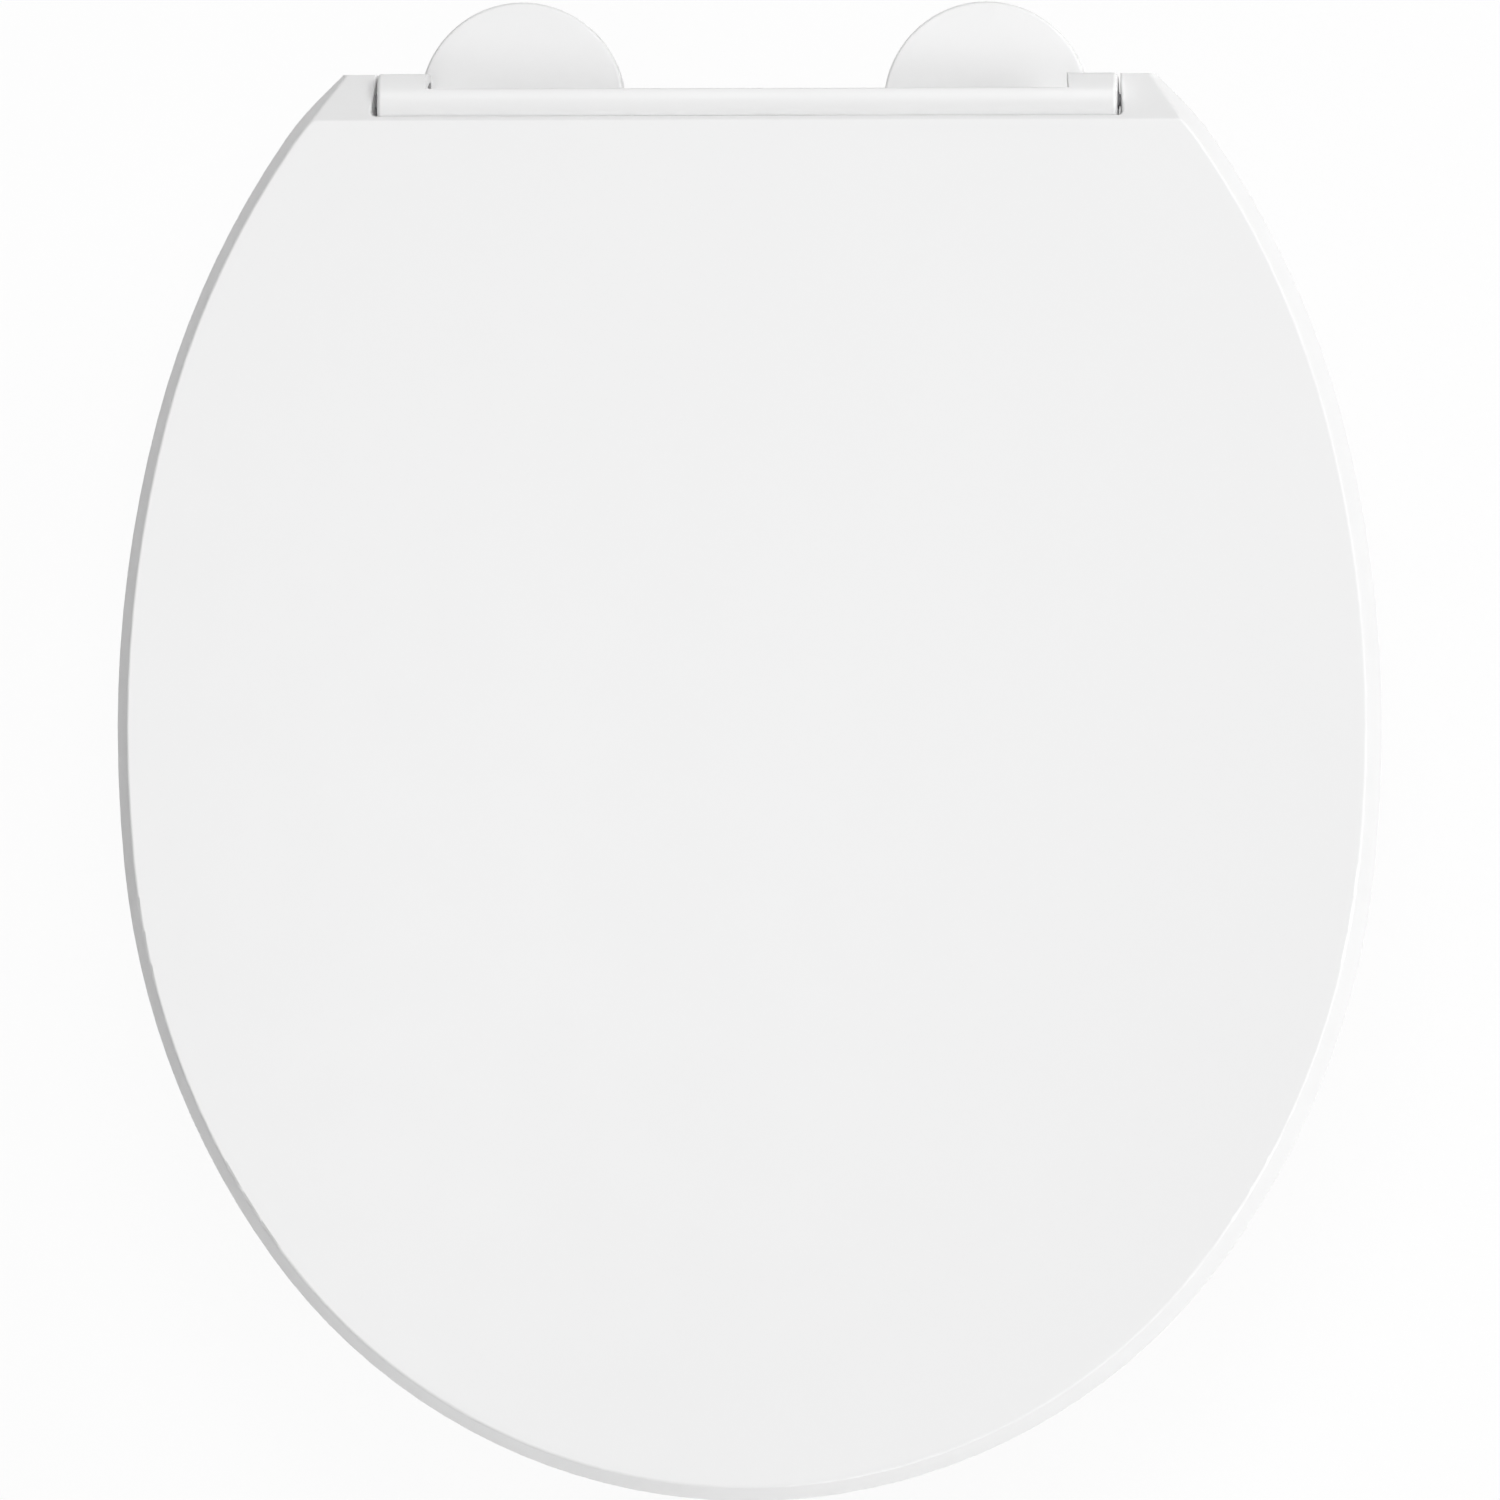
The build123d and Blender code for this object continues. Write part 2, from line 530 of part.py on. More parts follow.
# Fixings and hinge of each side
for side, s in SIDES.items():
    slot_middle = s * (BOLT_X + (SLOT_OUT - SLOT_IN) / 2 - DISC_X)
    slot_l = SLOT_IN + SLOT_OUT

    with BuildPart() as gasket:
        with BuildSketch(Plane((s * DISC_X, 0, 0))):
            Circle(GASKET_R)
            with Locations((slot_middle, 0)):
                RectangleRounded(slot_l, SLOT_W, SLOT_CORNER_R, mode=Mode.SUBTRACT)
        extrude(amount=GASKET_T)
    finish(gasket, f"gasket_{side}")

    with BuildPart() as plate:
        with BuildSketch(Plane((s * DISC_X, 0, PLATE_Z))):
            Circle(PLATE_R)
            with Locations((slot_middle, 0)):
                RectangleRounded(slot_l, SLOT_W, SLOT_CORNER_R, mode=Mode.SUBTRACT)
        extrude(amount=PLATE_T)
        with BuildSketch(Plane((s * STUB_X, STUB_Y, PLATE_TOP_Z))):
            Circle(STUB_R)
        extrude(amount=STUB_H)
        chamfer(plate.edges().group_by(Axis.Z)[-1], STUB_CHAMFER)
    finish(plate, f"base_plate_{side}")

    with BuildPart() as cover:
        with BuildSketch(Plane((s * DISC_X, 0, 0), x_dir=(1, 0, 0), z_dir=(0, -1, 0))):
            with BuildLine():
                ceiling_z = COVER_TOP_Z - COVER_TOP_T
                Polyline(
                    (0, COVER_TOP_Z),
                    (COVER_R, COVER_TOP_Z),
                    (COVER_R, COVER_LIFT),
                    (COVER_IN_R, COVER_LIFT),
                    (COVER_IN_R, PLATE_TOP_Z),
                    (COVER_LEDGE_R, PLATE_TOP_Z),
                    (COVER_LEDGE_R, ceiling_z),
                    (0, ceiling_z),
                    close=True,
                )
            make_face()
        revolve(axis=Axis((s * DISC_X, 0, 0), (0, 0, 1)))
        fillet(cover.edges().group_by(Axis.Z)[-1], COVER_EDGE_R)
        with BuildSketch(Plane((s * STUB_X, STUB_Y, COVER_TOP_Z))):
            Circle(STUB_R + COVER_FIT)
        extrude(amount=-COVER_TOP_T, mode=Mode.SUBTRACT)
    finish(cover, f"cover_disc_{side}")

    with BuildPart() as bolt:
        with BuildSketch(Plane((s * BOLT_X, 0, PLATE_TOP_Z))):
            Circle(BOLT_HEAD_R)
        extrude(amount=BOLT_HEAD_H)
        chamfer(bolt.edges().group_by(Axis.Z)[-1], BOLT_HEAD_CHAMFER)
        with BuildSketch(Plane((s * BOLT_X, 0, 0))):
            Rectangle(BOLT_NECK, BOLT_NECK)
        extrude(amount=PLATE_TOP_Z)
        with BuildSketch(Plane((s * BOLT_X, 0, 0))):
            Circle(BOLT_R)
        extrude(amount=-BOLT_PLAIN_H)
        with BuildSketch(Plane((s * BOLT_X, 0, -BOLT_PLAIN_H))):
            Circle(THREAD_R)
        extrude(amount=BOLT_TIP_Z + BOLT_PLAIN_H)
        chamfer(bolt.edges().group_by(Axis.Z)[0], BOLT_TIP_CHAMFER)
    finish(bolt, f"fixing_bolt_{side}")

    nut_bore_r = THREAD_R + THREAD_FIT
    with BuildPart() as cone:
        with BuildSketch(Plane((s * BOLT_X, 0, -PAN_T), x_dir=(1, 0, 0), z_dir=(0, -1, 0))):
            with BuildLine():
                Polyline(
                    (nut_bore_r, -CONE_FLANGE_T),
                    (CONE_FLANGE_R, -CONE_FLANGE_T),
                    (CONE_FLANGE_R, 0),
                    (CONE_BASE_R, 0),
                    (CONE_TIP_R, CONE_H),
                    (nut_bore_r, CONE_H),
                    close=True,
                )
            make_face()
        revolve(axis=Axis((s * BOLT_X, 0, 0), (0, 0, 1)))
    finish(cone, f"cone_washer_{side}")

    washer_z = -PAN_T - CONE_FLANGE_T
    with BuildPart() as washer:
        with BuildSketch(Plane((s * BOLT_X, 0, washer_z))):
            Circle(WASHER_R)
            Circle(nut_bore_r, mode=Mode.SUBTRACT)
        extrude(amount=-WASHER_T)
    finish(washer, f"flat_washer_{side}")

    nut_z = washer_z - WASHER_T
    with BuildPart() as nut:
        with BuildSketch(Plane((s * BOLT_X, 0, nut_z), x_dir=(1, 0, 0), z_dir=(0, -1, 0))):
            with Locations((0, -NUT_H / 2)):
                Rectangle(2 * NUT_HUB_R, NUT_WEB_H)
            with Locations((NUT_WING_R - NUT_SPAN / 2, -NUT_H), (NUT_SPAN / 2 - NUT_WING_R, -NUT_H)):
                Circle(NUT_WING_R)
            make_hull()
        extrude(amount=NUT_WING_T / 2, both=True)
        chamfer(nut.edges().filter_by(Axis.Y, reverse=True), NUT_CHAMFER)
        with BuildSketch(Plane((s * BOLT_X, 0, nut_z))):
            Circle(NUT_HUB_R)
        extrude(amount=-NUT_H)
        with BuildSketch(Plane((s * BOLT_X, 0, nut_z))):
            Circle(nut_bore_r)
        extrude(amount=-2 * NUT_H, mode=Mode.SUBTRACT)
    finish(nut, f"wing_nut_{side}")

    with BuildPart() as pedestal:
        with BuildSketch(cross_plane(s * (PEDESTAL_OUT_X - PEDESTAL_W))):
            with BuildLine():
                foot_v = COVER_TOP_Z - AXIS_Z
                head_low = -sqrt(PEDESTAL_HEAD_R**2 - PEDESTAL_BACK_Y**2)
                Polyline(
                    (PEDESTAL_FRONT_Y, foot_v),
                    (PEDESTAL_FRONT_Y, web_foot[1]),
                    (-PEDESTAL_HEAD_R, -PEDESTAL_SHOULDER),
                    (0, 0),
                    (PEDESTAL_BACK_Y, 0),
                    (PEDESTAL_BACK_Y, head_low),
                    (PEDESTAL_WAIST_Y, -WAIST_TOP),
                    (PEDESTAL_WAIST_Y, -WAIST_LOW),
                    (PEDESTAL_BACK_Y, -HEEL),
                    (PEDESTAL_BACK_Y, foot_v),
                    close=True,
                )
            make_face()
            Circle(PEDESTAL_HEAD_R)
            with Locations((PEDESTAL_BACK_Y, 0)):
                Rectangle(AXIS_Z, 2 * AXIS_Z, align=(Align.MIN, Align.CENTER), mode=Mode.SUBTRACT)
        extrude(amount=s * PEDESTAL_W)
        with BuildSketch(cross_plane(s * PEDESTAL_OUT_X)):
            Circle(COLLAR_R)
        extrude(amount=s * (DAMPER_IN_X - PEDESTAL_OUT_X))
        with BuildSketch(cross_plane(s * DAMPER_IN_X)):
            Rectangle(KEY_W, KEY_W)
        extrude(amount=s * KEY_L)
        with BuildSketch(Plane((s * STUB_X, STUB_Y, COVER_TOP_Z))):
            Circle(STUB_R + STUB_FIT)
        extrude(amount=PLATE_TOP_Z + STUB_H - COVER_TOP_Z + PLUG_END_GAP, mode=Mode.SUBTRACT)
        with BuildSketch(Plane((s * STUB_X, PEDESTAL_BACK_Y, GRUB_Z), x_dir=(1, 0, 0), z_dir=(0, -1, 0))):
            Circle(GRUB_R)
        extrude(amount=PEDESTAL_BACK_Y - STUB_Y, mode=Mode.SUBTRACT)
    finish(pedestal, f"hinge_pedestal_{side}")

    with BuildPart() as grub:
        tip_y = STUB_Y + STUB_R
        with BuildSketch(Plane((s * STUB_X, tip_y, GRUB_Z), x_dir=(1, 0, 0), z_dir=(0, 1, 0))):
            Circle(GRUB_R)
        extrude(amount=PEDESTAL_BACK_Y - tip_y)
        with BuildSketch(Plane((s * STUB_X, PEDESTAL_BACK_Y, GRUB_Z), x_dir=(1, 0, 0), z_dir=(0, -1, 0))):
            RegularPolygon(GRUB_SOCKET_R, 6)
        extrude(amount=GRUB_SOCKET_DEPTH, mode=Mode.SUBTRACT)
    finish(grub, f"grub_screw_{side}")

    bore_x = DAMPER_IN_X + DAMPER_END_WALL
    with BuildPart() as housing:
        with BuildSketch(cross_plane(s * DAMPER_IN_X)):
            Circle(DAMPER_R)
            Rectangle(KEY_W + 2 * KEY_FIT, KEY_W + 2 * KEY_FIT, mode=Mode.SUBTRACT)
        extrude(amount=s * DAMPER_END_WALL)
        with BuildSketch(cross_plane(s * bore_x)):
            Circle(DAMPER_R)
            Circle(DAMPER_BORE_R, mode=Mode.SUBTRACT)
        extrude(amount=s * (DAMPER_OUT_X - bore_x))
    finish(housing, f"damper_housing_{side}")

    with BuildPart() as cap:
        with BuildSketch(cross_plane(s * CAP_X)):
            Circle(DAMPER_BORE_R)
            Circle(SHAFT_R + RUNNING_FIT, mode=Mode.SUBTRACT)
        extrude(amount=s * CAP_T)
    finish(cap, f"damper_cap_{side}")

# Damper rotors: the left one turns with the lid, the right one with the ring
drum_x = DAMPER_IN_X + DAMPER_END_WALL + DRUM_GAP
drum_l = CAP_X - DRUM_GAP - drum_x
with BuildPart() as lid_rotor:
    with BuildSketch(cross_plane(-drum_x)):
        Circle(DRUM_R)
    extrude(amount=-drum_l)
    with BuildSketch(cross_plane(-drum_x - drum_l)):
        Circle(SHAFT_R)
    extrude(amount=drum_x + drum_l - KNUCKLE_OUT_X - SHAFT_ROUND)
    with BuildSketch(cross_plane(-KNUCKLE_OUT_X - SHAFT_ROUND)):
        double_d(SHAFT_R, SHAFT_FLAT)
    extrude(amount=KNUCKLE_OUT_X + SHAFT_ROUND - SHAFT_END_X)
finish(lid_rotor, "damper_rotor_left")

with BuildPart() as ring_rotor:
    with BuildSketch(cross_plane(drum_x)):
        Circle(DRUM_R)
    extrude(amount=drum_l)
    with BuildSketch(cross_plane(drum_x + drum_l)):
        Circle(SHAFT_R)
    extrude(amount=DAMPER_OUT_X - drum_x - drum_l)
    with BuildSketch(cross_plane(DAMPER_OUT_X)):
        double_d(SHAFT_R, SHAFT_FLAT)
    extrude(amount=KNUCKLE_OUT_X + SHAFT_ROUND - DAMPER_OUT_X)
    with BuildSketch(cross_plane(KNUCKLE_OUT_X + SHAFT_ROUND)):
        Circle(JOURNAL_R)
    extrude(amount=SHAFT_END_X - KNUCKLE_OUT_X - SHAFT_ROUND)
finish(ring_rotor, "damper_rotor_right")
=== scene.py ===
import json
import math

import bmesh
import bpy
from mathutils import Matrix, Vector


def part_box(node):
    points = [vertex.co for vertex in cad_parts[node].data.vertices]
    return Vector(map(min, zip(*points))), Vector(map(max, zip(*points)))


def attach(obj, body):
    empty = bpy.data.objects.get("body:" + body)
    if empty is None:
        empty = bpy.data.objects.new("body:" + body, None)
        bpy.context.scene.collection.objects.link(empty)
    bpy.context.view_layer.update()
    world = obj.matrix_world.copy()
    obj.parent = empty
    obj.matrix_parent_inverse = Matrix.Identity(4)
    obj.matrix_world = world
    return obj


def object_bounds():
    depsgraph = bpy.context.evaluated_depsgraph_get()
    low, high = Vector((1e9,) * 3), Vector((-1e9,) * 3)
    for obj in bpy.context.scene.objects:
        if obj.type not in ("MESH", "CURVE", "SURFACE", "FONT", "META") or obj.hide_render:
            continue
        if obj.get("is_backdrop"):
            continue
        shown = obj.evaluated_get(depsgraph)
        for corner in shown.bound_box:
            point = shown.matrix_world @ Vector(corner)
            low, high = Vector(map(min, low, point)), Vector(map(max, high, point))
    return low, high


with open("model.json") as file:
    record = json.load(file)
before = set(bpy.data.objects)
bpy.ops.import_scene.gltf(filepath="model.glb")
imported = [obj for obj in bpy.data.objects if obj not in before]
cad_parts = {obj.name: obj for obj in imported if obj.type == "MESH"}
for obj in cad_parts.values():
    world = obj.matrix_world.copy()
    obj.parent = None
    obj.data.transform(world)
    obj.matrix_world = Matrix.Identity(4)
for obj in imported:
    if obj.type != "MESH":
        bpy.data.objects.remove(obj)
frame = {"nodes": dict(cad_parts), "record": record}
CAD_LOW, CAD_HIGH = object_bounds()

MM = 0.001

# Camera: the photograph looks straight down from far off, a little from the right and from the front
AIM = Vector((0.2, -189.5, 30.0)) * MM
FRAME_WIDTH = 438.1 * MM
SENSOR_MM = 36.0
LENS_MM = 1200.0
LEAN_RIGHT_DEG = 3.6
LEAN_FRONT_DEG = 1.4
CLIP_START = 0.1
CLIP_END = 100.0

# Stage, its floor low enough for the lid to swing right back
FLOOR_HALF = 8.0
FLOOR_DROP = 30.0 * MM
FLOOR_COLOUR = (0.93, 0.93, 0.93, 1.0)
FLOOR_LIFT = 0.94
WHITE = (1.0, 1.0, 1.0, 1.0)
BACKDROP_LIGHT = 1.0
FILL_LIGHT = 0.01

# Soft boxes: place in metres, width in metres, power in watts
SOFT_BOXES = {
    "softbox_key": ((6.20, -1.80, 6.00), 3.4, 86.0),
    "softbox_right": ((7.00, -1.80, 1.20), 1.9, 138.0),
    "softbox_front": ((0.40, -3.20, 0.55), 1.0, 33.6),
    "softbox_back": ((0.40, 1.60, 4.40), 1.6, 84.0),
    "softbox_back_right": ((2.20, 1.70, 2.60), 1.4, 48.0),
    "softbox_near": ((-0.25, -0.32, 1.15), 0.6, 2.6),
}
LIGHT_TARGET = Vector((0.0, -0.19, 0.03))

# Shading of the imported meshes
SHARP_ANGLE_DEG = 30.0
WELD_DISTANCE = 1e-6
NORMAL_WEIGHT = 100

# Noise values that tones and roughness are spread over
NOISE_LOW = 0.3
NOISE_HIGH = 0.7

# Moulded plastics by slot: colour, roughness and strength of the orange peel
PLASTICS = {
    "seat_plastic": ((0.90, 0.90, 0.90), 0.38, 0.10),
    "cover_plastic": ((0.89, 0.89, 0.89), 0.40, 0.14),
    "hinge_plastic": ((0.80, 0.80, 0.80), 0.42, 0.25),
    "damper_plastic": ((0.22, 0.22, 0.23), 0.45, 0.30),
    "nut_plastic": ((0.72, 0.72, 0.70), 0.48, 0.35),
}
FLOW_SCALE = 14.0
FLOW_STRETCH = (1.0, 0.35, 1.0)
FLOW_DARK = 0.996
FLOW_LIGHT = 1.003
SHEEN_SCALE = 60.0
SHEEN_SWING = 0.05
PEEL_SCALE = 900.0
PEEL_DEPTH = 0.02 * MM
PLASTIC_IOR = 1.5

# Rubbers by slot: dark and light tone
RUBBERS = {
    "buffer_rubber": ((0.66, 0.66, 0.65), (0.74, 0.74, 0.73)),
    "gasket_rubber": ((0.055, 0.055, 0.055), (0.085, 0.085, 0.085)),
}
DUST_SCALE = 160.0
GRAIN_SCALE = 1500.0
GRAIN_STRENGTH = 0.25
GRAIN_DEPTH = 0.05 * MM
RUBBER_ROUGHNESS = (0.62, 0.82)

# Stainless steel, its brush lines drawn out along X on the pieces and a little along Z on the thread
STEEL_DARK = (0.50, 0.50, 0.49)
STEEL_LIGHT = (0.66, 0.66, 0.65)
STEEL_ROUGHNESS = (0.22, 0.42)
BRUSH_SCALE = 2600.0
BRUSH_STRENGTH = 0.12
BRUSH_DEPTH = 0.01 * MM
PIECE_BRUSHING = (0.04, 1.0, 1.0)
THREAD_BRUSHING = (1.0, 1.0, 0.2)

# Bolt thread, M8 coarse, with the ridge's foot and crest as shares of the pitch
THREAD_PITCH = 1.25 * MM
THREAD_CREST_R = 3.98 * MM
THREAD_ROOT_R = 3.5 * MM
THREAD_TOP_Z = -13.6 * MM
THREAD_END_Z = -54.0 * MM
THREAD_STEPS = 28
THREAD_FOOT_SHARE = 0.94
THREAD_CREST_SHARE = 0.12


def new_material(name):
    """Empty node material with its shader, and the object's own coordinates."""
    material = bpy.data.materials.new(name)
    material.use_nodes = True
    tree = material.node_tree
    tree.nodes.clear()
    output = tree.nodes.new("ShaderNodeOutputMaterial")
    shader = tree.nodes.new("ShaderNodeBsdfPrincipled")
    place = tree.nodes.new("ShaderNodeTexCoord")
    tree.links.new(shader.outputs["BSDF"], output.inputs["Surface"])
    return material, tree, shader, place.outputs["Object"]


def noise(tree, place, scale, detail, stretch=(1.0, 1.0, 1.0)):
    """Noise texture over the object's own coordinates, scale in features per metre."""
    mapping = tree.nodes.new("ShaderNodeMapping")
    mapping.inputs["Scale"].default_value = stretch
    texture = tree.nodes.new("ShaderNodeTexNoise")
    texture.inputs["Scale"].default_value = scale
    texture.inputs["Detail"].default_value = detail
    tree.links.new(place, mapping.inputs["Vector"])
    tree.links.new(mapping.outputs["Vector"], texture.inputs["Vector"])
    return texture.outputs["Fac"]


def spread(tree, value, low, high):
    """Map a noise value to the range low to high."""
    node = tree.nodes.new("ShaderNodeMapRange")
    node.interpolation_type = "SMOOTHSTEP"
    node.inputs["From Min"].default_value = NOISE_LOW
    node.inputs["From Max"].default_value = NOISE_HIGH
    node.inputs["To Min"].default_value = low
    node.inputs["To Max"].default_value = high
    tree.links.new(value, node.inputs["Value"])
    return node.outputs["Result"]


def tint(tree, value, dark, light):
    """Colour between two close tones, driven by a noise value."""
    node = tree.nodes.new("ShaderNodeValToRGB")
    node.color_ramp.interpolation = "EASE"
    first, last = node.color_ramp.elements
    first.position = NOISE_LOW
    first.color = (*dark, 1.0)
    last.position = NOISE_HIGH
    last.color = (*light, 1.0)
    tree.links.new(value, node.inputs["Fac"])
    return node.outputs["Color"]


def add_bump(tree, shader, value, strength, distance):
    """Fine relief on the shader's normal, distance in metres."""
    bump = tree.nodes.new("ShaderNodeBump")
    bump.inputs["Strength"].default_value = strength
    bump.inputs["Distance"].default_value = distance
    tree.links.new(value, bump.inputs["Height"])
    tree.links.new(bump.outputs["Normal"], shader.inputs["Normal"])


def moulded_plastic(name, colour, roughness, relief):
    """Moulded plastic: faint flow marks, slightly uneven gloss and a fine orange peel."""
    material, tree, shader, place = new_material(name)
    flow = noise(tree, place, FLOW_SCALE, 1.0, FLOW_STRETCH)
    dark = [c * FLOW_DARK for c in colour]
    light = [c * FLOW_LIGHT for c in colour]
    tree.links.new(tint(tree, flow, dark, light), shader.inputs["Base Color"])
    sheen = noise(tree, place, SHEEN_SCALE, 2.0)
    gloss = spread(tree, sheen, roughness * (1 - SHEEN_SWING), roughness * (1 + SHEEN_SWING))
    tree.links.new(gloss, shader.inputs["Roughness"])
    peel = noise(tree, place, PEEL_SCALE, 1.0)
    add_bump(tree, shader, peel, relief, PEEL_DEPTH)
    shader.inputs["IOR"].default_value = PLASTIC_IOR
    return material


def rubber(name, dark, light):
    """Matte rubber with a fine grain and an uneven tone."""
    material, tree, shader, place = new_material(name)
    grain = noise(tree, place, GRAIN_SCALE, 3.0)
    dust = noise(tree, place, DUST_SCALE, 4.0)
    tree.links.new(tint(tree, dust, dark, light), shader.inputs["Base Color"])
    tree.links.new(spread(tree, grain, *RUBBER_ROUGHNESS), shader.inputs["Roughness"])
    add_bump(tree, shader, grain, GRAIN_STRENGTH, GRAIN_DEPTH)
    return material


def brushed_steel(name, stretch):
    """Stainless steel with fine brush lines, drawn out along the axis with the smallest stretch."""
    material, tree, shader, place = new_material(name)
    lines = noise(tree, place, BRUSH_SCALE, 2.0, stretch)
    tree.links.new(tint(tree, lines, STEEL_DARK, STEEL_LIGHT), shader.inputs["Base Color"])
    tree.links.new(spread(tree, lines, *STEEL_ROUGHNESS), shader.inputs["Roughness"])
    add_bump(tree, shader, lines, BRUSH_STRENGTH, BRUSH_DEPTH)
    shader.inputs["Metallic"].default_value = 1.0
    return material


def shade_by_angle():
    """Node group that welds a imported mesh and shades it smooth, with sharp edges past an angle."""
    group = bpy.data.node_groups.new("shade_by_angle", "GeometryNodeTree")
    group.interface.new_socket("Geometry", in_out="INPUT", socket_type="NodeSocketGeometry")
    group.interface.new_socket("Geometry", in_out="OUTPUT", socket_type="NodeSocketGeometry")
    start = group.nodes.new("NodeGroupInput")
    end = group.nodes.new("NodeGroupOutput")
    weld = group.nodes.new("GeometryNodeMergeByDistance")
    weld.inputs["Distance"].default_value = WELD_DISTANCE
    angle = group.nodes.new("GeometryNodeInputMeshEdgeAngle")
    gentle = group.nodes.new("FunctionNodeCompare")
    gentle.data_type = "FLOAT"
    gentle.operation = "LESS_EQUAL"
    gentle.inputs["B"].default_value = math.radians(SHARP_ANGLE_DEG)
    edges = group.nodes.new("GeometryNodeSetShadeSmooth")
    edges.domain = "EDGE"
    faces = group.nodes.new("GeometryNodeSetShadeSmooth")
    faces.domain = "FACE"
    link = group.links.new
    link(start.outputs["Geometry"], weld.inputs["Geometry"])
    link(angle.outputs["Unsigned Angle"], gentle.inputs["A"])
    link(weld.outputs["Geometry"], edges.inputs["Geometry"])
    link(gentle.outputs["Result"], edges.inputs["Shade Smooth"])
    link(edges.outputs["Geometry"], faces.inputs["Geometry"])
    link(faces.outputs["Geometry"], end.inputs["Geometry"])
    return group


def dress(node, material, group):
    """Give a CAD node its material and clean shading."""
    node.data.materials.clear()
    node.data.materials.append(material)
    shading = node.modifiers.new("shade_by_angle", "NODES")
    shading.node_group = group
    normals = node.modifiers.new("flat_faces_stay_flat", "WEIGHTED_NORMAL")
    normals.mode = "FACE_AREA"
    normals.weight = NORMAL_WEIGHT
    normals.keep_sharp = True


def thread(name, centre_x, material):
    """Helical ridge of a bolt's thread, its root sunk in the bolt's plain core."""
    mesh = bmesh.new()
    turns = (THREAD_TOP_Z - THREAD_END_Z) / THREAD_PITCH
    steps = int(turns * THREAD_STEPS)
    foot = THREAD_FOOT_SHARE * THREAD_PITCH / 2
    flat = THREAD_CREST_SHARE * THREAD_PITCH / 2
    rows = []
    for i in range(steps + 1):
        angle = 2 * math.pi * i / THREAD_STEPS
        z = THREAD_END_Z + THREAD_PITCH * i / THREAD_STEPS
        fade = min(1.0, i / THREAD_STEPS, (steps - i) / THREAD_STEPS)
        crest = THREAD_ROOT_R + (THREAD_CREST_R - THREAD_ROOT_R) * fade
        row = []
        for r, rise in ((THREAD_ROOT_R, -foot), (crest, -flat), (crest, flat), (THREAD_ROOT_R, foot)):
            x, y = centre_x + r * math.cos(angle), r * math.sin(angle)
            row.append(mesh.verts.new((x, y, z + rise)))
        rows.append(row)
    for low, high in zip(rows, rows[1:]):
        for k in range(len(low)):
            n = (k + 1) % len(low)
            mesh.faces.new((low[k], high[k], high[n], low[n]))
    mesh.faces.new(rows[0])
    mesh.faces.new(list(reversed(rows[-1])))
    bmesh.ops.recalc_face_normals(mesh, faces=mesh.faces)
    data = bpy.data.meshes.new(name)
    mesh.to_mesh(data)
    mesh.free()
    piece = bpy.data.objects.new(name, data)
    bpy.context.scene.collection.objects.link(piece)
    data.materials.append(material)
    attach(piece, "base")


def seen_directly(tree):
    """1 for rays from the camera, or by way of gloss or glass, and 0 for light that falls on things."""
    path = tree.nodes.new("ShaderNodeLightPath")
    seen = path.outputs["Is Camera Ray"]
    for ray in ("Is Glossy Ray", "Is Transmission Ray"):
        either = tree.nodes.new("ShaderNodeMath")
        either.operation = "MAXIMUM"
        tree.links.new(seen, either.inputs[0])
        tree.links.new(path.outputs[ray], either.inputs[1])
        seen = either.outputs["Value"]
    return seen


def mix_shaders(tree, share, first, second):
    """Mix of two shaders, by the share of the second."""
    mix = tree.nodes.new("ShaderNodeMixShader")
    tree.links.new(share, mix.inputs["Fac"])
    tree.links.new(first, mix.inputs[1])
    tree.links.new(second, mix.inputs[2])
    return mix.outputs["Shader"]


def floor_material():
    """White where it is seen from above, with the object's shadow kept, and clear from below."""
    material = bpy.data.materials.new("floor")
    material.use_nodes = True
    tree = material.node_tree
    tree.nodes.clear()
    output = tree.nodes.new("ShaderNodeOutputMaterial")
    diffuse = tree.nodes.new("ShaderNodeBsdfDiffuse")
    diffuse.inputs["Color"].default_value = FLOOR_COLOUR
    white = tree.nodes.new("ShaderNodeEmission")
    white.inputs["Color"].default_value = WHITE
    white.inputs["Strength"].default_value = BACKDROP_LIGHT
    lift = tree.nodes.new("ShaderNodeMath")
    lift.operation = "MULTIPLY"
    lift.inputs[1].default_value = FLOOR_LIFT
    tree.links.new(seen_directly(tree), lift.inputs[0])
    facing = tree.nodes.new("ShaderNodeNewGeometry")
    clear = tree.nodes.new("ShaderNodeBsdfTransparent")
    above = mix_shaders(tree, lift.outputs["Value"], diffuse.outputs["BSDF"], white.outputs["Emission"])
    surface = mix_shaders(tree, facing.outputs["Backfacing"], above, clear.outputs["BSDF"])
    tree.links.new(surface, output.inputs["Surface"])
    return material


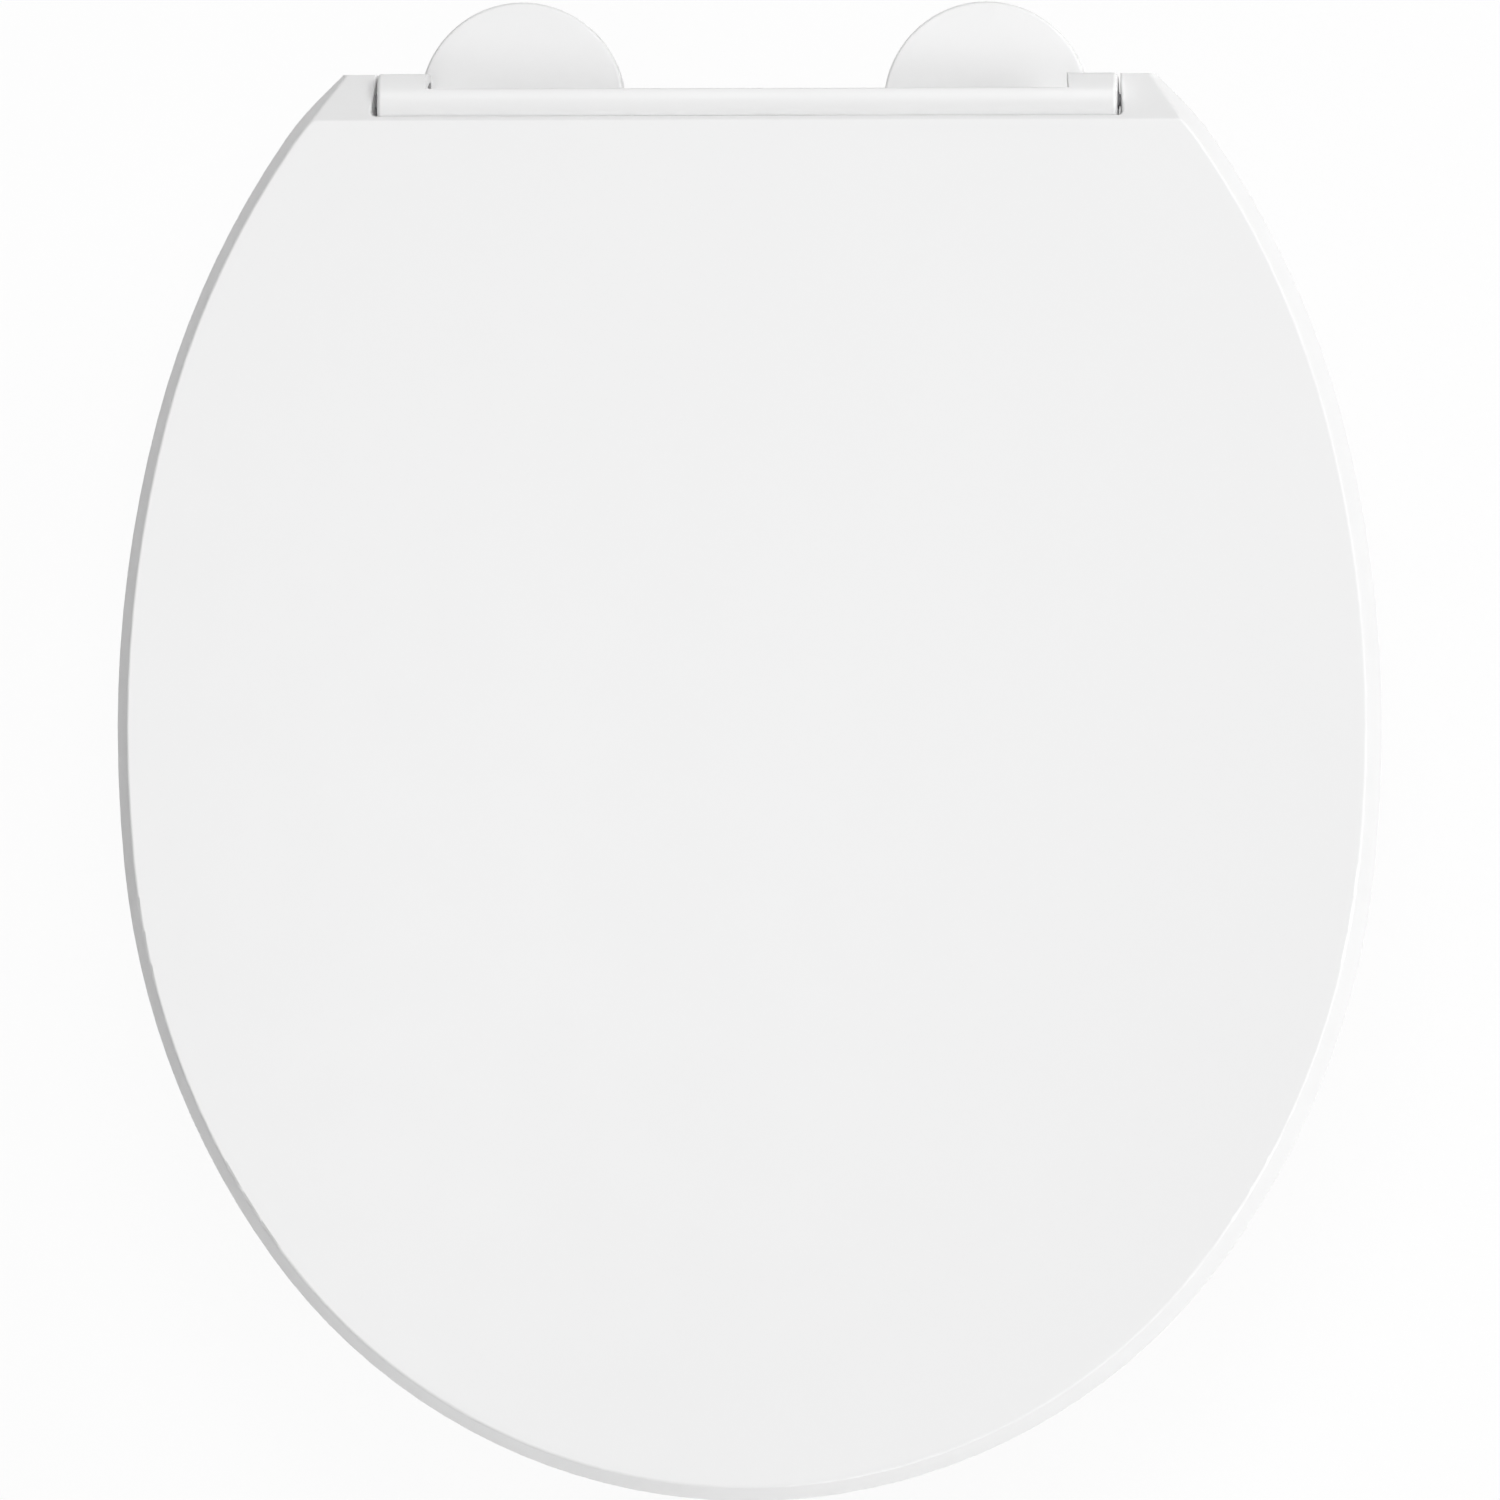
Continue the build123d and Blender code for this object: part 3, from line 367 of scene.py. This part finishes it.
def add_floor():
    """Square floor below the object."""
    half = FLOOR_HALF
    z = CAD_LOW.z - FLOOR_DROP
    corners = [(-half, -half, z), (half, -half, z), (half, half, z), (-half, half, z)]
    mesh = bpy.data.meshes.new("floor")
    mesh.from_pydata(corners, [], [(0, 1, 2, 3)])
    mesh.materials.append(floor_material())
    floor = bpy.data.objects.new("floor", mesh)
    bpy.context.scene.collection.objects.link(floor)
    floor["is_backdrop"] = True


def add_world():
    """Even fill light, seen as white."""
    world = bpy.data.worlds.new("studio")
    bpy.context.scene.world = world
    world.use_nodes = True
    tree = world.node_tree
    tree.nodes.clear()
    output = tree.nodes.new("ShaderNodeOutputWorld")
    lights = []
    for strength in (FILL_LIGHT, BACKDROP_LIGHT):
        light = tree.nodes.new("ShaderNodeBackground")
        light.inputs["Color"].default_value = WHITE
        light.inputs["Strength"].default_value = strength
        lights.append(light.outputs["Background"])
    tree.links.new(mix_shaders(tree, seen_directly(tree), *lights), output.inputs["Surface"])


def add_soft_box(name, place, width, power):
    """Square soft box, aimed at the seat and not seen by the camera."""
    lamp = bpy.data.lights.new(name, "AREA")
    lamp.shape = "SQUARE"
    lamp.size = width
    lamp.energy = power
    box = bpy.data.objects.new(name, lamp)
    box.location = place
    box.rotation_euler = (LIGHT_TARGET - Vector(place)).to_track_quat("-Z", "Y").to_euler()
    box.visible_camera = False
    bpy.context.scene.collection.objects.link(box)


def add_camera():
    """Camera high over the seat, with the back of the seat at the top of the picture."""
    lens = bpy.data.cameras.new("camera")
    lens.sensor_width = SENSOR_MM
    lens.lens = LENS_MM
    lens.clip_start = CLIP_START
    lens.clip_end = CLIP_END
    right = math.tan(math.radians(LEAN_RIGHT_DEG))
    front = math.tan(math.radians(LEAN_FRONT_DEG))
    lean = Vector((right, -front, 1.0)).normalized()
    across = Vector((0.0, 1.0, 0.0)).cross(lean).normalized()
    upright = lean.cross(across)
    distance = FRAME_WIDTH * LENS_MM / SENSOR_MM
    camera = bpy.data.objects.new("camera", lens)
    camera.location = AIM + lean * distance
    camera.rotation_euler = Matrix((across, upright, lean)).transposed().to_euler()
    bpy.context.scene.collection.objects.link(camera)
    bpy.context.scene.camera = camera


materials = {name: moulded_plastic(name, *look) for name, look in PLASTICS.items()}
for name, tones in RUBBERS.items():
    materials[name] = rubber(name, *tones)
materials["steel"] = brushed_steel("steel", PIECE_BRUSHING)
thread_steel = brushed_steel("thread_steel", THREAD_BRUSHING)

shading_group = shade_by_angle()
for part in frame["record"]["subparts"]:
    dress(frame["nodes"][part["node"]], materials[part["material_slot"]], shading_group)

for side in ("left", "right"):
    low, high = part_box(f"fixing_bolt_{side}")
    thread(f"bolt_thread_{side}", (low.x + high.x) / 2, thread_steel)

add_floor()
add_world()
for name, (place, width, power) in SOFT_BOXES.items():
    add_soft_box(name, place, width, power)
add_camera()
bpy.context.scene.view_settings.view_transform = "Standard"

low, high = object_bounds()
